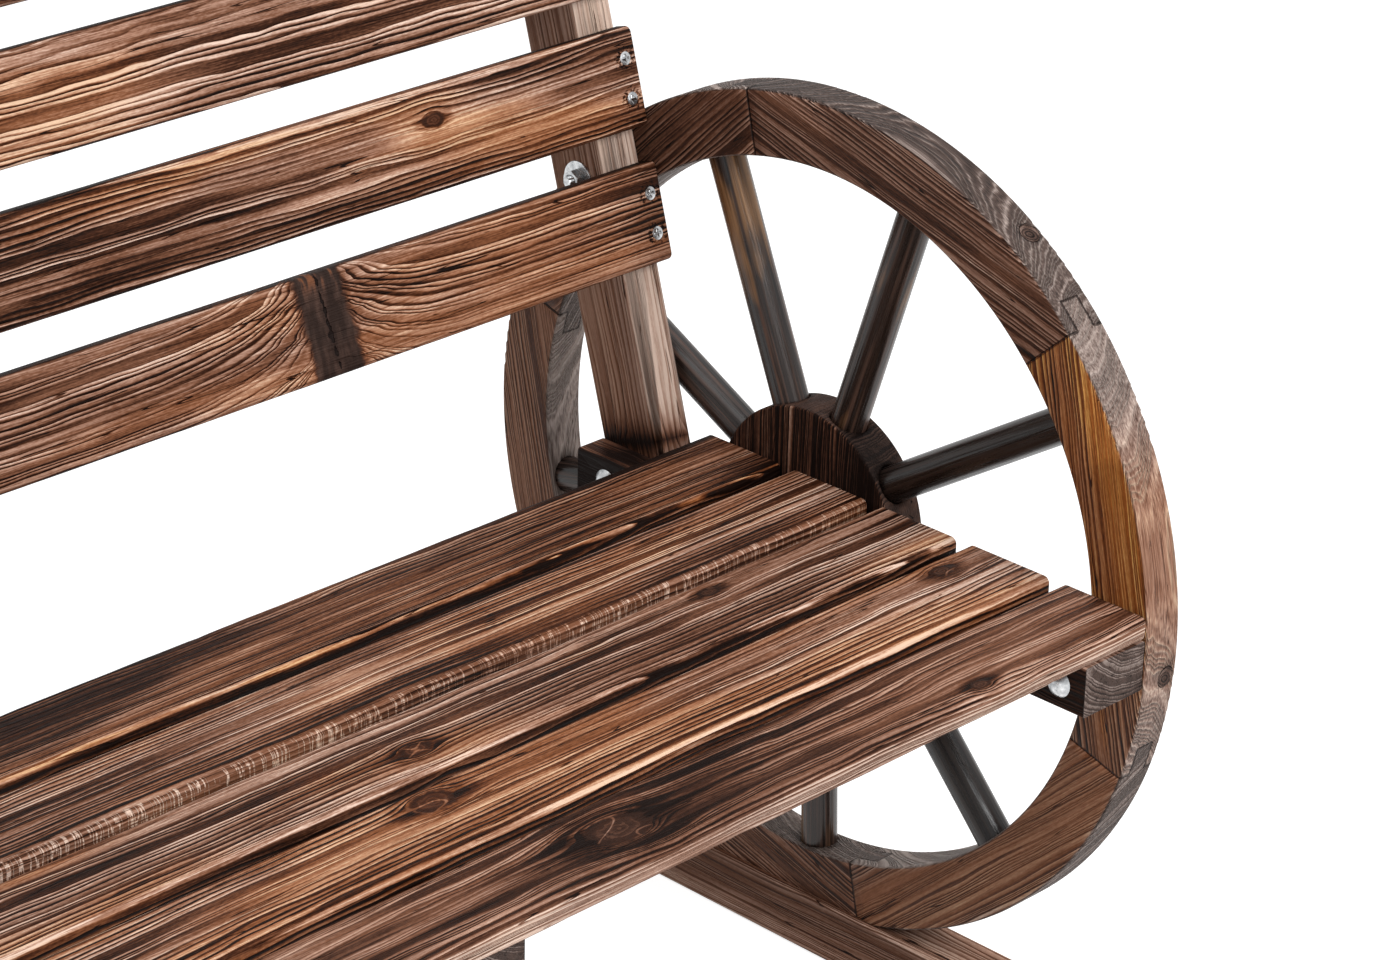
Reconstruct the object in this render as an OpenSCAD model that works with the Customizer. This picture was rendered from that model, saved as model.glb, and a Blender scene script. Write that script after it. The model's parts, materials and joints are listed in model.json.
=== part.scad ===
// Two-seat garden bench carried by a wooden spoked wheel at each end

/* [Bench] */
// Width over the outer faces of the two wheels
bench_w = 1130; // [900:10:1500]
// Height of the seat's top above the wheel centres
seat_rise = 32; // [20:1:60]
// Overhang of the rims in front of the seat
rim_lead = 1.5; // [0:0.5:12]

/* [Wheels] */
// Outside diameter of a wheel
wheel_d = 580; // [540:5:640]
// Radial depth of the felloes
rim_depth = 45; // [40:1:56]
// Thickness of the felloes and hubs
rim_t = 32; // [31:0.5:40]
// Direction of the first spoke, from the rear towards the top
first_spoke_a = 107.2; // [104:0.1:108]
// Angle that a felloe's tongue reaches past the joint line
tongue_a = 4.2; // [3:0.1:5]
// Thickness of a felloe's tongue
tongue_t = 15; // [10:0.5:18]
// Diameter of the plug on each felloe's outer edge
plug_d = 15; // [8:1:18]
// Depth of that plug
plug_depth = 12; // [6:1:20]
// Angle from the plug up to the next joint line
plug_a = 14; // [10:0.5:17]
// Offset of the plug from the felloe's middle, outwards
plug_side = 6; // [-6:0.5:6]
// Diameter of a hub
hub_d = 154; // [130:2:180]
// Diameter of a spoke
spoke_d = 25; // [20:0.5:27]
// Depth of a spoke's seat in the rim
spoke_set = 15; // [10:1:20]
// Depth of a spoke's hole in the hub
hub_hole_depth = 24; // [15:1:28]
// Extra width of the hub holes round the spokes
hub_hole_ease = 1.2; // [0:0.1:2]

/* [Seat] */
// Number of seat slats
seat_slat_n = 5; // [4:1:6]
// Width of a slat
slat_w = 67; // [60:1:72]
// Thickness of a slat
slat_t = 16; // [14:0.5:24]
// Gap between seat slats
seat_gap = 10.5; // [5:0.5:14]
// Rounding of a slat's long edges
slat_ease = 4; // [1:0.5:6]
// Width of a seat rail
rail_w = 57; // [50:1:70]
// Height of the seat rails and the batten
rail_h = 34; // [28:1:45]
// Width of the middle batten
batten_w = 33; // [25:1:50]
// Distance of the batten's ends from the seat's edges
batten_inset = 12; // [5:1:30]
// Rounding of the edges of the rims, hubs, rails, posts and feet
edge_r = 2; // [0.5:0.5:4]

/* [Back] */
// Number of back slats
back_slat_n = 5; // [3:1:5]
// Gap between back slats
back_gap = 24; // [15:1:26]
// Distance from the seat's top to the lowest back slat, along the post
back_rise = 115; // [95:0.5:130]
// Lean of the back posts from upright
post_lean = 16.5; // [10:0.1:20]
// Width of a back post across the bench
post_w = 33; // [28:1:38]
// Depth of a back post from front to rear
post_d = 50; // [42:1:60]
// Height of a post's end above the top slat
post_end = 0; // [0:1:60]
// Rounding of a post's upper end
post_round = 4; // [1:0.5:20]
// Gap between the rear seat slat and the posts
post_gap = 19.5; // [6:0.5:30]

/* [Feet] */
// Length of a foot
foot_l = 460; // [400:10:560]
// Width of a foot
foot_w = 40; // [38:1:60]
// Height of a foot
foot_h = 43; // [35:1:60]
// Depth of the rim's seat in the foot
foot_seat = 12; // [6:1:16]
// Depth of the foot screws' heads in the foot
foot_screw_sink = 2; // [0:0.5:6]
// Distance of the foot screws from the wheel's centre line
foot_screw_y = 40; // [25:1:50]

/* [Hardware] */
// Diameter of the carriage bolts
bolt_d = 8; // [6:1:10]
// Diameter of a carriage bolt's round head
bolt_head_d = 19; // [16:1:22]
// Height of a carriage bolt's round head
bolt_head_h = 4.5; // [3:0.5:6]
// Diameter of a washer
washer_d = 25; // [20:1:28]
// Thickness of a washer
washer_t = 2; // [1:0.5:3]
// Width across a nut's flats
nut_af = 13; // [12:1:17]
// Thickness of a nut
nut_t = 6.5; // [5:0.5:8]
// Length of bolt past the nut
bolt_tail = 3; // [1:0.5:5]
// Diameter of the screws
screw_d = 4.5; // [3.5:0.5:6]
// Diameter of a screw head
screw_head_d = 9; // [7:0.5:12]
// Depth that the seat screws reach into the slats
seat_screw_bite = 12; // [6:0.5:13]
// Depth that the back screws reach into the posts
back_screw_bite = 28; // [15:1:35]
// Depth that the foot screws reach into the rims
foot_screw_bite = 25; // [15:1:30]
// Distance of the lap bolt from the post's front face
lap_bolt_back = 29; // [20:1:34]
// Distance of the back screws from the posts' outer faces
back_screw_in = 10; // [8:0.5:18]
// Distance between the two screws at a back slat's end
back_screw_gap = 27; // [18:1:36]
// Distance between the two screws at a seat slat's end
rail_screw_gap = 28; // [18:1:34]

/* [Fits] */
// Clearance of glued and housed joints
fit = 0.15; // [0.1:0.05:0.3]
// Clearance of bolts and screws in their holes
hole_fit = 0.2; // [0.1:0.05:0.4]
// Clearance of the slats' ends at the wheels
end_fit = 0.5; // [0.2:0.1:0.8]

/* [Hidden] */
$fn = 96;
SIDES = ["right", "left"];
felloe_n = 6;
spoke_n = felloe_n * 3 / 2;
warm_felloe = 2;
felloe_a = 360 / felloe_n;
spoke_a = 360 / spoke_n;

// Holes this close to the middle of a felloe touch it
cut_a = felloe_a / 2 + 6;

rim_r = wheel_d / 2;
rim_in = rim_r - rim_depth;
rim_mid = rim_r - rim_depth / 2;
slot_fit_a = atan(fit / rim_mid);
tongue_low = (rim_t - tongue_t) / 2;
hub_r = hub_d / 2;
hub_hole_r = spoke_d / 2 + hub_hole_ease;

// Cross positions: the inner face of the right wheel
inner_x = bench_w / 2 - rim_t;

// Depths and heights measured from the wheel centre
seat_front = -rim_r + rim_lead;
slat_pitch = slat_w + seat_gap;
seat_depth = seat_slat_n * slat_w + (seat_slat_n - 1) * seat_gap;
seat_rear = seat_front + seat_depth;
rail_top = seat_rise - slat_t;
rail_low = rail_top - rail_h;
rail_mid = rail_top - rail_h / 2;

// The post's front face crosses the wheel's centre height here
post_y = seat_rear + post_gap - seat_rise * tan(post_lean);
post_rear_y = post_y + rail_top * tan(post_lean) + post_d / cos(post_lean);
back_first = seat_rise / cos(post_lean) + back_rise;
back_pitch = slat_w + back_gap;
post_top = back_first + back_slat_n * slat_w + (back_slat_n - 1) * back_gap + post_end;
post_foot = rail_low / cos(post_lean) - post_d * tan(post_lean);
lap_w = rail_w - post_w;

// The wheel's centre, with the bench's box centred on the origin and resting on z = 0
wheel_z = foot_h - foot_seat + rim_r;
post_reach = post_y + post_round + (post_top - post_round) * sin(post_lean)
    + (post_d - post_round) * cos(post_lean);
wheel_y = (rim_r - post_reach) / 2;

// Bolts: front of the rail to the rim, post to the rim, post to the rail
rail_bolt = [-sqrt(rim_mid * rim_mid - rail_mid * rail_mid), rail_mid];
post_dir = [sin(post_lean), cos(post_lean)];
post_mid = [post_y + post_d / 2 * cos(post_lean), -post_d / 2 * sin(post_lean)];
mid_along = post_mid * post_dir;
bolt_along = sqrt(mid_along * mid_along - post_mid * post_mid + rim_mid * rim_mid) - mid_along;
post_bolt = post_mid + bolt_along * post_dir;
lap_line = [post_y + lap_bolt_back * cos(post_lean), -lap_bolt_back * sin(post_lean)];
lap_bolt = lap_line + (rail_mid - lap_line[1]) / post_dir[1] * post_dir;

// Lengths of the screws
screw_in_rail = rail_h + seat_screw_bite;
screw_in_post = slat_t + back_screw_bite;
screw_in_rim = foot_h - foot_seat - foot_screw_sink + foot_screw_bite;

wood = [0.42, 0.29, 0.21];
wood_dark = [0.28, 0.2, 0.16];
wood_warm = [0.55, 0.36, 0.2];
steel = [0.75, 0.76, 0.78];

function joint_angle(k) = first_spoke_a + (k - 1.5) * felloe_a;
function spoke_angle(k) = first_spoke_a + (k - 1) * spoke_a;

// Angle between a direction and the middle of a felloe
function off_mid(a, k) = abs(((a - joint_angle(k + 0.5)) % 360 + 540) % 360 - 180);

// Slats are counted from the rear of the seat and from the foot of the back
function slat_mid(k) = seat_rear - slat_w / 2 - (k - 1) * slat_pitch;
function back_mid(k) = back_first + slat_w / 2 + (k - 1) * back_pitch;

// Right half as drawn, left half mirrored
module on_side(side) mirror([side == "left" ? 1 : 0, 0, 0]) children();

// Origin at the wheel's centre on its inner face, x outwards
module at_wheel() translate([inner_x, wheel_y, wheel_z]) children();

// Turns a shape drawn in x and y to lie in the wheel's plane, its height running outwards
module face_on() rotate([90, 0, 90]) children();

// Along the post: x across the bench, y out of its front face, z up its length
module at_post() at_wheel() translate([0, post_y, 0]) rotate([-post_lean, 0, 0]) children();

module eased_rect(w, h, r) {
    translate([r, 0]) square([w - 2 * r, h]);
    translate([0, r]) square([w, h - 2 * r]);
    for (x = [r, w - r], y = [r, h - r]) translate([x, y]) circle(r);
}

// A bar along y with its lower left front corner at the origin
module bar_y(w, l, h, r) translate([0, l, 0]) rotate([90, 0, 0]) linear_extrude(l) eased_rect(w, h, r);

// A bar along x, centred on x = 0
module bar_x(l, d, h, r) translate([-l / 2, 0, 0]) rotate([90, 0, 90]) linear_extrude(l) eased_rect(d, h, r);

// A sector that takes in the felloes' whole depth
module sector(from, turn, low, t)
    rotate(from) translate([0, 0, low]) rotate_extrude(angle = turn)
        translate([rim_in - 1, 0]) square([rim_depth + 2, t]);

module eased_disc(r, t, e) rotate_extrude() {
    square([r - e, t]);
    translate([0, e]) square([r, t - 2 * e]);
    for (y = [e, t - e]) translate([r - e, y]) circle(e);
}

module radial(angle, r) rotate(angle) translate([r, 0, rim_t / 2]) rotate([0, 90, 0]) children();

module round_bolt(l) {
    translate([0, 0, -bolt_head_h]) intersection() {
        ball_r = (bolt_head_d * bolt_head_d / 4 + bolt_head_h * bolt_head_h) / (2 * bolt_head_h);
        translate([0, 0, ball_r]) sphere(ball_r);
        cylinder(d = bolt_head_d + 2, h = bolt_head_h);
    }
    cylinder(d = bolt_d, h = l + washer_t + nut_t + bolt_tail);
}

// Head flush at z = 0, point towards +z
module wood_screw(l) {
    head_h = (screw_head_d - screw_d) / 2;
    cylinder(d1 = screw_head_d, d2 = screw_d, h = head_h);
    cylinder(d = screw_d, h = l);
}

module screw_hole(l) {
    head_h = (screw_head_d - screw_d) / 2;
    cylinder(d1 = screw_head_d + 2 * hole_fit, d2 = screw_d + 2 * hole_fit, h = head_h);
    cylinder(d = screw_d + 2 * hole_fit, h = l + hole_fit);
}

// Places of the three bolts, their heads at the origin and their ends along +z
module rail_bolt_place() at_wheel() face_on() translate([rail_bolt[0], rail_bolt[1], -rail_w]) children();
module lap_bolt_place() at_wheel() face_on() translate([lap_bolt[0], lap_bolt[1], -rail_w]) children();
module post_bolt_place() at_wheel() face_on()
    translate([post_bolt[0], post_bolt[1], rim_t]) rotate([180, 0, 0]) children();

module bolt_hole(l) translate([0, 0, -1]) cylinder(d = bolt_d + 2 * hole_fit, h = l + 2);

module seat_screw_places()
    for (k = [1:seat_slat_n], x = [-1, 1])
        at_wheel() translate([-rail_w / 2 + x * rail_screw_gap / 2, slat_mid(k), rail_low]) children();
module batten_screw_places()
    for (k = [1:seat_slat_n]) translate([0, wheel_y + slat_mid(k), wheel_z + rail_low]) children();
module foot_screw_places()
    for (y = [-1, 1])
        at_wheel() translate([rim_t / 2, y * foot_screw_y, foot_screw_sink - wheel_z]) children();
module back_screw_places()
    for (k = [1:back_slat_n], s = [-1, 1]) at_post()
        translate([-back_screw_in, -slat_t, back_mid(k) + s * back_screw_gap / 2])
            rotate([-90, 0, 0]) children();

// The shoulders beside the tongue at a felloe's lower end
module shoulders(k) for (low = [-1, tongue_low + tongue_t])
    sector(joint_angle(k) - tongue_a - 1, tongue_a + 1, low, tongue_low + 1);

// The slot at a felloe's upper end takes the next felloe's tongue
module slot(k)
    sector(joint_angle(k) - tongue_a - slot_fit_a, tongue_a + slot_fit_a + 1,
        tongue_low - fit, tongue_t + 2 * fit);

module felloe(side, k) color(k == warm_felloe ? wood_warm : wood) on_side(side) difference() {
    at_wheel() face_on() difference() {
        rotate(joint_angle(k) - tongue_a) rotate_extrude(angle = felloe_a + tongue_a)
            translate([rim_in, 0]) eased_rect(rim_depth, rim_t, edge_r);
        shoulders(k);
        slot(k + 1);
        for (j = [1:spoke_n])
            if (off_mid(spoke_angle(j), k) < cut_a)
                radial(spoke_angle(j), rim_in - spoke_d)
                    cylinder(d = spoke_d + 2 * fit, h = spoke_d + spoke_set + fit);
        plug_place(k) cylinder(d = plug_d + 2 * fit, h = plug_depth + fit + 1);
    }
    if (off_mid(atan2(rail_bolt[1], rail_bolt[0]), k) < cut_a) rail_bolt_place() bolt_hole(rail_w + rim_t);
    if (off_mid(atan2(post_bolt[1], post_bolt[0]), k) < cut_a) post_bolt_place() bolt_hole(post_w + rim_t);
    if (off_mid(270, k) < cut_a) foot_screw_places() screw_hole(screw_in_rim);
}

// At the bottom of the plug's hole, with z running outwards
module plug_place(k) rotate(joint_angle(k + 1) - plug_a)
    translate([rim_r - plug_depth, 0, rim_t / 2 + plug_side]) rotate([0, 90, 0]) children();

module rim_plugs() color(wood) for (s = SIDES, k = [1:felloe_n])
    on_side(s) at_wheel() face_on() intersection() {
        plug_place(k) cylinder(d = plug_d, h = plug_depth + 1);
        cylinder(r = rim_r, h = rim_t);
    }

module spoke(side, k) color(wood_dark) on_side(side) at_wheel() face_on()
    radial(spoke_angle(k), hub_r - hub_hole_depth)
        cylinder(d = spoke_d, h = rim_in + spoke_set - hub_r + hub_hole_depth);

module hub(side) color(wood) on_side(side) at_wheel() face_on() difference() {
    eased_disc(hub_r, rim_t, edge_r);
    for (j = [1:spoke_n])
        radial(spoke_angle(j), hub_r - hub_hole_depth - fit) cylinder(r = hub_hole_r, h = hub_r);
}

module foot(side) color(wood) on_side(side) difference() {
    at_wheel() translate([(rim_t - foot_w) / 2, -foot_l / 2, -wheel_z]) bar_y(foot_w, foot_l, foot_h, edge_r);
    at_wheel() face_on() translate([0, 0, -fit]) cylinder(r = rim_r + fit, h = rim_t + 2 * fit);
    foot_screw_places() screw_hole(screw_in_rim);
    foot_screw_places() translate([0, 0, -foot_screw_sink - 1])
        cylinder(d = screw_head_d + 2 * hole_fit, h = foot_screw_sink + 1);
}

module seat_rail(side) color(wood) on_side(side) difference() {
    at_wheel() translate([-rail_w, seat_front, rail_low])
        bar_y(rail_w, post_rear_y - seat_front, rail_h, edge_r);
    at_post() translate([-post_w - fit, -fit, -rail_h * 2])
        cube([post_w + fit + 1, post_d * 3, rail_h * 4]);
    rail_bolt_place() bolt_hole(rail_w);
    lap_bolt_place() bolt_hole(rail_w);
    seat_screw_places() screw_hole(screw_in_rail);
}

module back_post(side) color(wood) on_side(side) difference() {
    intersection() {
        at_post() translate([-post_w, 0, post_foot])
            linear_extrude(post_top - post_foot) eased_rect(post_w, post_d, edge_r);
        at_post() translate([-post_w - 1, 0, 0]) rotate([90, 0, 90]) linear_extrude(post_w + 2)
            translate([0, post_foot - 1]) eased_rect(post_d, post_top - post_foot + 1, post_round);
        at_wheel() translate([-post_w - 1, post_y - post_top, rail_low])
            cube([post_w + 2, 3 * post_top, post_top + 2 * post_d]);
    }
    post_bolt_place() bolt_hole(post_w + rim_t);
    lap_bolt_place() bolt_hole(rail_w);
    back_screw_places() screw_hole(screw_in_post);
}

module seat_slat(k) color(wood) difference() {
    translate([0, wheel_y + slat_mid(k) - slat_w / 2, wheel_z + rail_top])
        bar_x(2 * (inner_x - end_fit), slat_w, slat_t, slat_ease);
    for (s = SIDES) on_side(s) seat_screw_places() screw_hole(screw_in_rail);
    batten_screw_places() screw_hole(screw_in_rail);
}

module back_slat(k) color(wood) difference() {
    at_post() translate([-inner_x, -slat_t, back_mid(k) - slat_w / 2])
        bar_x(2 * (inner_x - end_fit), slat_t, slat_w, slat_ease);
    for (s = SIDES) on_side(s) back_screw_places() screw_hole(screw_in_post);
}

module seat_batten() color(wood) difference() {
    translate([-batten_w / 2, wheel_y + seat_front + batten_inset, wheel_z + rail_low])
        bar_y(batten_w, seat_depth - 2 * batten_inset, rail_h, edge_r);
    batten_screw_places() screw_hole(screw_in_rail);
}

module rail_bolts() color(steel) for (s = SIDES) on_side(s) rail_bolt_place() round_bolt(rail_w + rim_t);
module post_bolts() color(steel) for (s = SIDES) on_side(s) post_bolt_place() round_bolt(post_w + rim_t);
module lap_bolts() color(steel) for (s = SIDES) on_side(s) lap_bolt_place() round_bolt(rail_w);

module washer() difference() {
    cylinder(d = washer_d, h = washer_t);
    bolt_hole(washer_t);
}
module nut() difference() {
    cylinder(d = nut_af / cos(30), h = nut_t, $fn = 6);
    bolt_hole(nut_t);
}
module bolt_ends() for (s = SIDES) on_side(s) {
    rail_bolt_place() translate([0, 0, rail_w + rim_t]) children();
    post_bolt_place() translate([0, 0, post_w + rim_t]) children();
    lap_bolt_place() translate([0, 0, rail_w]) children();
}
module washers() color(steel) bolt_ends() washer();
module nuts() color(steel) bolt_ends() translate([0, 0, washer_t]) nut();

module seat_screws() color(steel) {
    for (s = SIDES) on_side(s) seat_screw_places() wood_screw(screw_in_rail);
    batten_screw_places() wood_screw(screw_in_rail);
}
module back_screws() color(steel) for (s = SIDES) on_side(s) back_screw_places() wood_screw(screw_in_post);
module foot_screws() color(steel) for (s = SIDES) on_side(s) foot_screw_places() wood_screw(screw_in_rim);

for (s = SIDES) {
    for (k = [1:felloe_n]) felloe(s, k);
    for (k = [1:spoke_n]) spoke(s, k);
    hub(s);
    foot(s);
    seat_rail(s);
    back_post(s);
}
for (k = [1:seat_slat_n]) seat_slat(k);
for (k = [1:back_slat_n]) back_slat(k);
seat_batten();
rim_plugs();
rail_bolts();
post_bolts();
lap_bolts();
washers();
nuts();
seat_screws();
back_screws();
foot_screws();
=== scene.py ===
"""Two-seat garden bench: carbonised fir boards between two spoked wheels, with zinc-plated fasteners."""

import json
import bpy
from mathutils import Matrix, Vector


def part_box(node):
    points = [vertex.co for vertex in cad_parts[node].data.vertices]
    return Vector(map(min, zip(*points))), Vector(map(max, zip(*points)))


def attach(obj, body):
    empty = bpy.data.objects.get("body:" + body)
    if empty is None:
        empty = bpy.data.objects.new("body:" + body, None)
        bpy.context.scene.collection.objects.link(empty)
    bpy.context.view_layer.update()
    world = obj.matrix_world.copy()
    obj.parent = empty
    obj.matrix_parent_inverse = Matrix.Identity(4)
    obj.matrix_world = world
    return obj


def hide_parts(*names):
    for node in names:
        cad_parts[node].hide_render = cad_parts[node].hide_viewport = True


bl_info = {
    "name": "Wagon Wheel Bench",
    "version": (1, 0, 0),
    "blender": (4, 5, 0),
    "location": "3D View > Sidebar > Bench",
    "description": "Builds a garden bench of carbonised fir on two spoked wheels",
    "category": "Add Mesh",
}

from functools import partial
from math import atan2, cos, pi, radians, sin

import bmesh
import bpy
from bpy.props import FloatProperty, FloatVectorProperty, PointerProperty
from mathutils import Matrix, Vector, noise

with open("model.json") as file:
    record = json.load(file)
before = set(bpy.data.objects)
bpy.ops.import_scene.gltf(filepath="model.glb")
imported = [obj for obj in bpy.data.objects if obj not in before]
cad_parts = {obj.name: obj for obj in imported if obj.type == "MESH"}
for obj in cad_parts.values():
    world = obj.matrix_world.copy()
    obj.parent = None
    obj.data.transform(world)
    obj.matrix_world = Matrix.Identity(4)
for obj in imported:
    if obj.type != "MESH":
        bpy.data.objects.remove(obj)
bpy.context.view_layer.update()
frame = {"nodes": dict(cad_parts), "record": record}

# Which way each wheel lies from the middle of the bench
SIDES = {"right": 1, "left": -1}
FELLOES = 6
# The felloes' tongues are 15 mm thick and reach 4.2 degrees past the joint, and so do their glue lines
TONGUE = 0.015
TONGUE_TURN = 4.2
# Degrees round the axle from the rear to the first joint, and the first spoke stands 30 degrees past it
FIRST_JOINT = 77.2
SPOKES = 9
SEAT_SLATS = 5
BACK_SLATS = 5

# The hub's box gives the wheel's centre, and the record's back face gives the posts' lean
hub_low, hub_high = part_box("hub_right")
wheel_centre = (Vector(hub_low) + Vector(hub_high)) / 2
back_face = next(m for m in frame["record"]["mounts"] if m["name"] == "back_surface")
lean = atan2(back_face["axis"][2], -back_face["axis"][1])

ACROSS = Vector((1, 0, 0))
DEEP = Vector((0, 1, 0))
UP = Vector((0, 0, 1))
UP_THE_BACK = Vector((0, sin(lean), cos(lean)))
OUT_OF_THE_BACK = Vector((0, -cos(lean), sin(lean)))


def srgb(value):
    """The linear colour of an sRGB hex value such as "7f5a47"."""
    parts = [int(value[i:i + 2], 16) / 255 for i in (0, 2, 4)]
    return [p / 12.92 if p <= 0.04045 else ((p + 0.055) / 1.055) ** 2.4 for p in parts] + [1.0]


class BenchTimber(bpy.types.PropertyGroup):
    """Colours and wear of the timber"""
    brown: FloatVectorProperty(name="Brown", description="Ground colour of the burnt and brushed fir",
                               subtype="COLOR", size=4, min=0, max=1, default=srgb("724b37"))
    tan: FloatVectorProperty(name="Tan", description="Colour of worn edges and of the palest bands",
                             subtype="COLOR", size=4, min=0, max=1, default=srgb("d8bdac"))
    burnt: FloatVectorProperty(name="Burnt", description="Colour of the charred lines between the bands",
                               subtype="COLOR", size=4, min=0, max=1, default=srgb("120704"))
    amber: FloatVectorProperty(name="Amber", description="Colour where the flame hardly touched the wood",
                               subtype="COLOR", size=4, min=0, max=1, default=srgb("925220"))
    smoke: FloatVectorProperty(name="Smoke", description="Grey-brown of the most burnt faces and end grain",
                               subtype="COLOR", size=4, min=0, max=1, default=srgb("51423c"))
    slat_ease: FloatProperty(name="Slat edge", description="Rounding of the slats' long edges",
                             subtype="DISTANCE", unit="LENGTH", default=0.004, min=0.001, max=0.006)
    wear: FloatProperty(name="Edge wear", description="Most that brushing has taken off a slat's edge",
                        subtype="DISTANCE", unit="LENGTH", default=0.0011, min=0, max=0.003)
    ridge: FloatProperty(name="Ridge height", description="Height of the hard bands above the soft ones",
                         subtype="DISTANCE", unit="LENGTH", default=0.0011, min=0, max=0.002)


class BenchStage(bpy.types.PropertyGroup):
    """The camera's lens and the light"""
    lens: FloatProperty(name="Lens", description="Focal length on a 36 mm wide sensor",
                        subtype="DISTANCE_CAMERA", default=111.08, min=20, max=300)
    key: FloatProperty(name="Front lamp", description="Power of the large lamp in front of the bench",
                       subtype="POWER", unit="POWER", default=150, min=0, max=1000)
    top: FloatProperty(name="Top lamp", description="Power of the large lamp above the bench",
                       subtype="POWER", unit="POWER", default=55, min=0, max=1000)
    ambient: FloatProperty(name="Room light", description="Strength of the even light from all round",
                           default=0.34, min=0, max=2)


# What a word after the dot in a node's kind sets
CHOICES = {"Math": "operation", "VectorMath": "operation", "MapRange": "interpolation_type"}


def add(tree, kind, *inputs, at=None, stops=None, **settings):
    """Adds a node. Inputs are nodes or sockets to link, or values, in order or by name in at.

    A kind can carry its choice, as Math.ADD does. A ramp's stops are (place, colour or grey) pairs.
    """
    kind, _, choice = kind.partition(".")
    made = tree.nodes.new("ShaderNode" + kind)
    if choice:
        settings[CHOICES[kind]] = choice
    for key, value in settings.items():
        setattr(made, key, value)
    for key, value in [*enumerate(inputs), *(at or {}).items()]:
        if isinstance(value, bpy.types.Node):
            value = next(out for out in value.outputs if out.enabled)
        if isinstance(value, bpy.types.NodeSocket):
            tree.links.new(value, made.inputs[key])
        else:
            made.inputs[key].default_value = value
    if stops:
        ramp = made.color_ramp.elements
        while len(ramp) < len(stops):
            ramp.new(0.5)
        for element, (place, colour) in zip(ramp, stops):
            element.position = place
            element.color = (colour, colour, colour, 1) if isinstance(colour, float) else colour
    return made


def empty_tree(owner):
    """Clears the node tree of a material or world, and returns what adds nodes to it."""
    owner.use_nodes = True
    owner.node_tree.nodes.clear()
    return partial(add, owner.node_tree)


def clouds(node, place, scales, detail=2.0, offset=(0, 0, 0)):
    """Noise stretched along the grain. Each scale is about one over the size of a cloud in metres."""
    stretched = node("VectorMath.MULTIPLY_ADD", place, scales, offset)
    return node("TexNoise", at={"Vector": stretched, "Scale": 1.0, "Detail": detail})


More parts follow.
